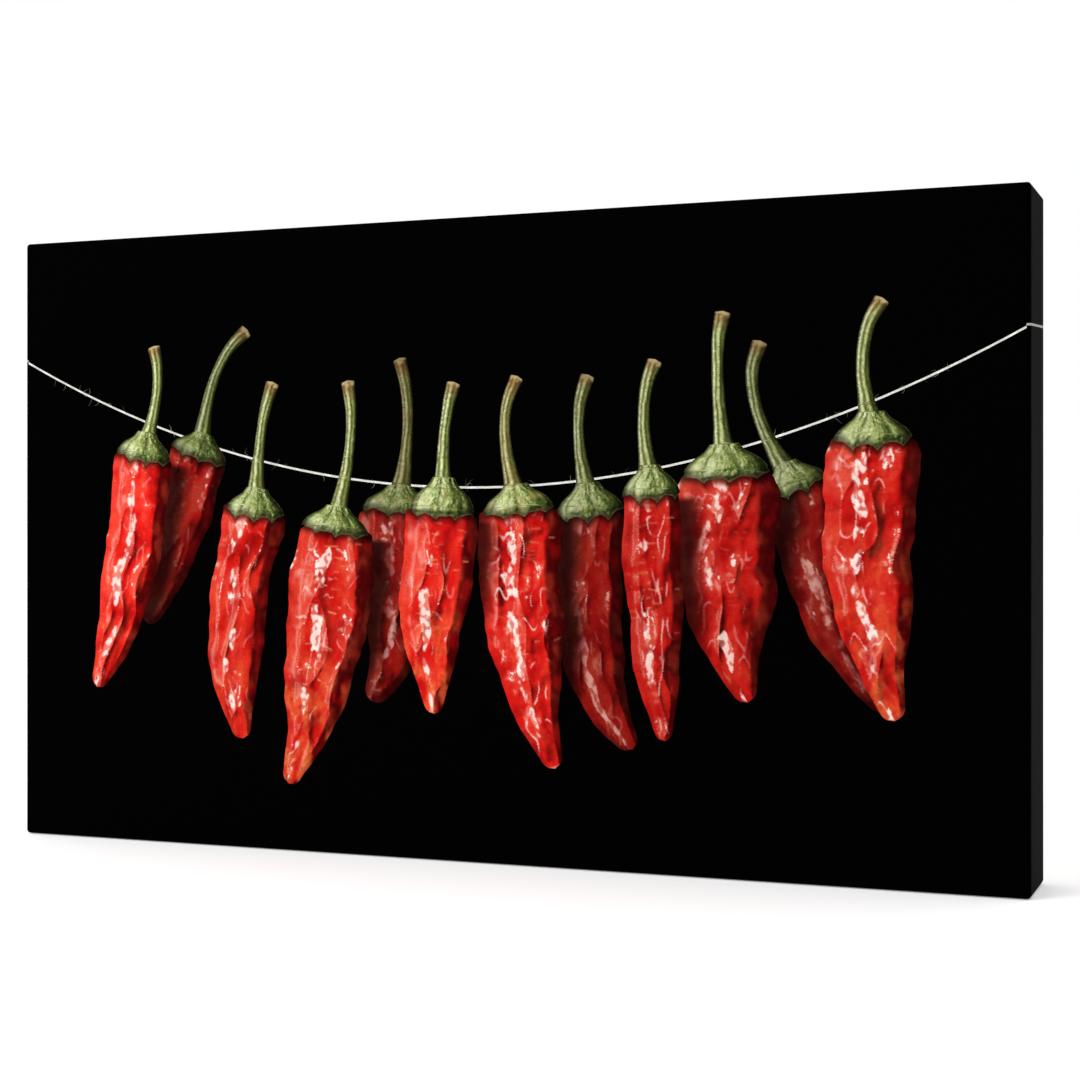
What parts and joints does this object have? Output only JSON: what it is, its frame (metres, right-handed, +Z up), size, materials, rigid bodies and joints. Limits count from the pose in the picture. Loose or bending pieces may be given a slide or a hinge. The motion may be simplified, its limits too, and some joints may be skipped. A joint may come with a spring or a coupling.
{
  "type": "stretched canvas print",
  "caption": "Gallery-wrapped canvas wall print on a deep mitred wooden stretcher frame, with a picture of red chillies hung on a string over a black ground.",
  "frame": {"origin": "on the floor under the middle of the whole print, as it stands on its lower long side", "axes": "+X to the right along the picture, +Z up, and the picture faces -Y, so +Y runs from the picture to the wall behind it"},
  "size_m": [0.5, 0.044, 0.3],
  "materials": {
    "printed_canvas": "matt black-grounded ink on woven canvas, unprinted off-white at the hem and the back",
    "stretcher_wood": "planed, unvarnished pine",
    "staple_steel": "galvanised wire"
  },
  "bodies": {
    "root": {"canvas": "printed_canvas", "bar_top": "stretcher_wood", "bar_bottom": "stretcher_wood", "bar_left": "stretcher_wood", "bar_right": "stretcher_wood", "staple_top_1": "staple_steel", "staple_top_2": "staple_steel", "staple_top_3": "staple_steel", "staple_top_4": "staple_steel", "staple_top_5": "staple_steel", "staple_top_6": "staple_steel", "staple_top_7": "staple_steel", "staple_bottom_1": "staple_steel", "staple_bottom_2": "staple_steel", "staple_bottom_3": "staple_steel", "staple_bottom_4": "staple_steel", "staple_bottom_5": "staple_steel", "staple_bottom_6": "staple_steel", "staple_bottom_7": "staple_steel", "staple_left_1": "staple_steel", "staple_left_2": "staple_steel", "staple_left_3": "staple_steel", "staple_left_4": "staple_steel", "staple_right_1": "staple_steel", "staple_right_2": "staple_steel", "staple_right_3": "staple_steel", "staple_right_4": "staple_steel"}
  },
  "joints": []
}
